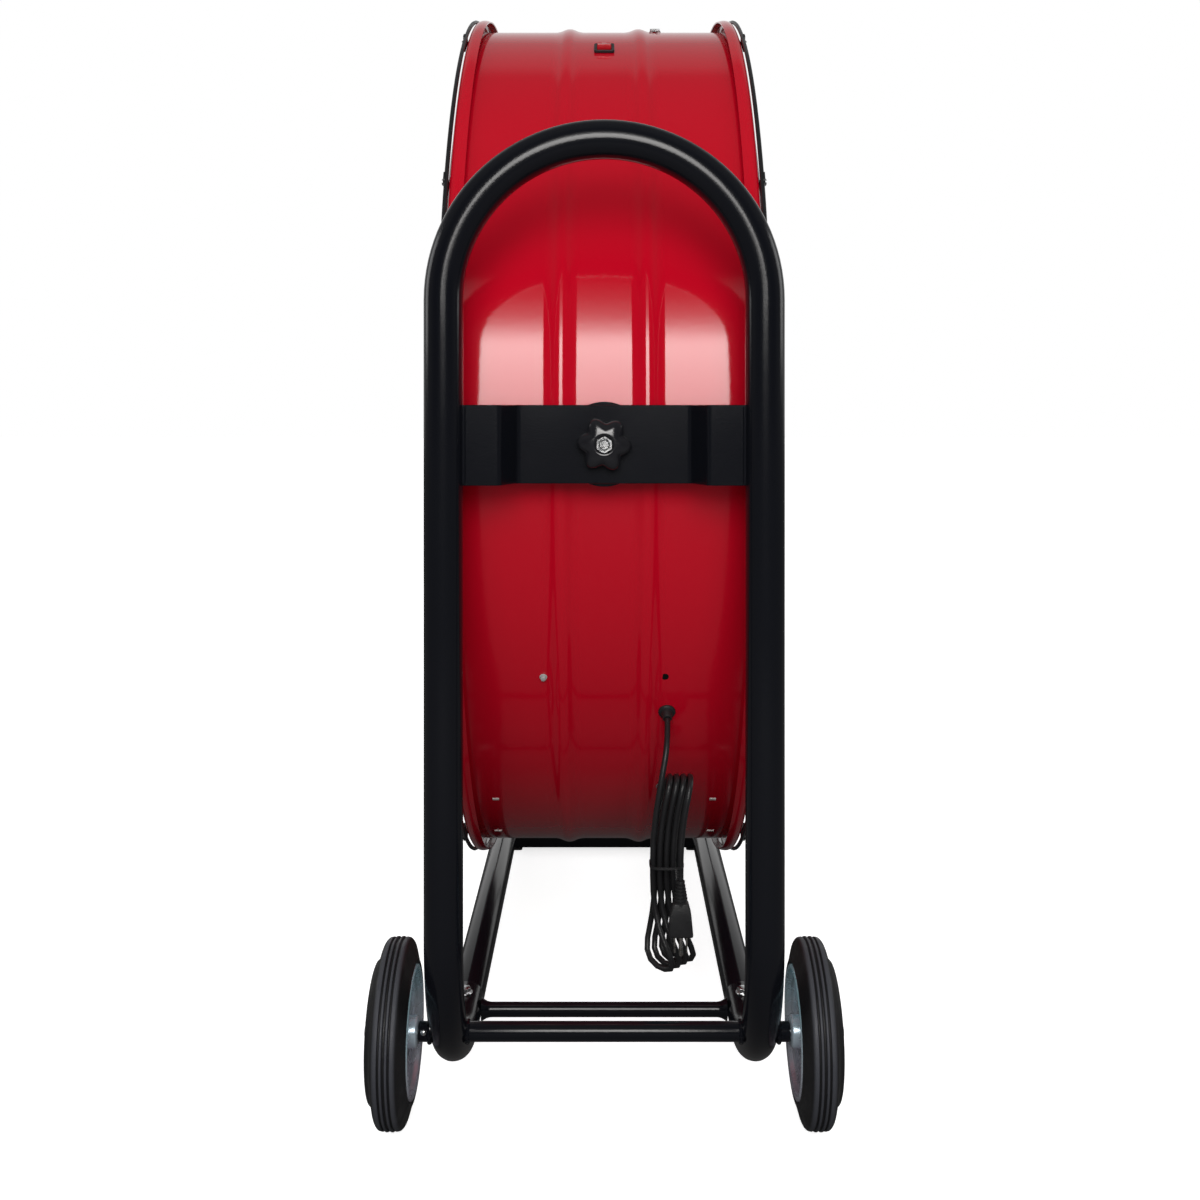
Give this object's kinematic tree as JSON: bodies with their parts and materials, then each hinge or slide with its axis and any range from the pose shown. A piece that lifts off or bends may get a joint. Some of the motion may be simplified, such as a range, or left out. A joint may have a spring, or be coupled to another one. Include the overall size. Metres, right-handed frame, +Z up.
{
  "type": "drum fan",
  "caption": "Steel drum fan with wire guards, tilting between two arched tube uprights on a base with wheels, star knobs and a coiled mains lead.",
  "frame": {"origin": "middle of the frame's footprint, on the ground", "axes": "+Z up; X along the airflow, blowing towards +X; Y along the tilt axis, with the wheels and the push handle towards -Y"},
  "size_m": [0.478, 1.3258, 1.2445],
  "materials": {
    "drum_paint": "gloss red enamel",
    "frame_paint": "satin black powder coat",
    "guard_wire": "black coated wire",
    "zinc": "bright zinc plate",
    "wheel_zinc": "passivated zinc plate",
    "tyre": "moulded black rubber",
    "foot_rubber": "matte",
    "knob_plastic": "gloss black",
    "black_plastic": "satin black",
    "rocker_plastic": "gloss red",
    "cord_jacket": "satin black jacket",
    "motor_paint": "satin dark grey",
    "blade_alloy": "mill finish"
  },
  "bodies": {
    "stand": {"near_arch": "frame_paint", "far_arch": "frame_paint", "left_rail": "frame_paint", "right_rail": "frame_paint", "near_left_frame_bolt": "zinc", "near_right_frame_bolt": "zinc", "far_left_frame_bolt": "zinc", "far_right_frame_bolt": "zinc", "near_cross_tube": "frame_paint", "far_cross_tube": "frame_paint", "foot_bar": "frame_paint", "left_foot_pad": "foot_rubber", "right_foot_pad": "foot_rubber", "axle_tube": "frame_paint", "axle": "zinc", "left_cotter_pin": "zinc", "right_cotter_pin": "zinc", "near_bracket": "frame_paint", "far_bracket": "frame_paint"},
    "left_wheel": {"left_tyre": "tyre", "left_wheel_disc": "wheel_zinc", "left_wheel_hub": "wheel_zinc"},
    "right_wheel": {"right_tyre": "tyre", "right_wheel_disc": "wheel_zinc", "right_wheel_hub": "wheel_zinc"},
    "drum": {"drum_shell": "drum_paint", "intake_guard": "guard_wire", "outlet_guard": "guard_wire", "near_pivot_boss": "frame_paint", "far_pivot_boss": "frame_paint", "near_pivot_bolt": "zinc", "far_pivot_bolt": "zinc", "near_pivot_washer": "zinc", "far_pivot_washer": "zinc", "motor_bracket": "frame_paint", "bracket_bolt_1": "zinc", "bracket_bolt_2": "zinc", "bracket_bolt_3": "zinc", "shell_bolt": "zinc", "motor_housing": "motor_paint", "motor_front_cap": "motor_paint", "motor_rear_cap": "motor_paint", "junction_box": "motor_paint", "switch_bezel": "black_plastic", "cord_gland": "black_plastic", "cord_drop": "cord_jacket", "cord_hank": "cord_jacket", "cord_tie": "black_plastic", "cord_plug": "cord_jacket"},
    "fan": {"motor_shaft": "zinc", "fan_hub": "blade_alloy", "fan_blade_1": "blade_alloy", "fan_blade_2": "blade_alloy", "fan_blade_3": "blade_alloy"},
    "near_knob": {"near_knob": "knob_plastic", "near_knob_nut": "zinc"},
    "far_knob": {"far_knob": "knob_plastic", "far_knob_nut": "zinc"},
    "rocker": {"switch_rocker": "rocker_plastic"}
  },
  "joints": [
    {"name": "drum_tilt", "type": "hinge", "parent": "stand", "child": "drum", "pos_m": [0, 0.01186, 0.676], "axis": [0, 1, 0], "range_deg": [-90, 90]},
    {"name": "near_knob_turn", "type": "hinge", "parent": "drum", "child": "near_knob", "pos_m": [0, -0.6, 0.676], "axis": [0, -1, 0], "range_deg": [0, 180]},
    {"name": "far_knob_turn", "type": "hinge", "parent": "drum", "child": "far_knob", "pos_m": [0, 0.62, 0.676], "axis": [0, 1, 0], "range_deg": [0, 180]},
    {"name": "fan_spin", "type": "hinge", "parent": "drum", "child": "fan", "pos_m": [-0.098, 0.01186, 0.676], "axis": [1, 0, 0], "continuous": true},
    {"name": "left_wheel_spin", "type": "hinge", "parent": "stand", "child": "left_wheel", "pos_m": [-0.2075, -0.57386, 0.089], "axis": [1, 0, 0], "continuous": true},
    {"name": "right_wheel_spin", "type": "hinge", "parent": "stand", "child": "right_wheel", "pos_m": [0.2075, -0.57386, 0.089], "axis": [1, 0, 0], "continuous": true},
    {"name": "switch_rock", "type": "hinge", "parent": "drum", "child": "rocker", "pos_m": [0, -0.27476, 1.15301], "axis": [1, 0, 0], "range_deg": [0, 20]}
  ]
}
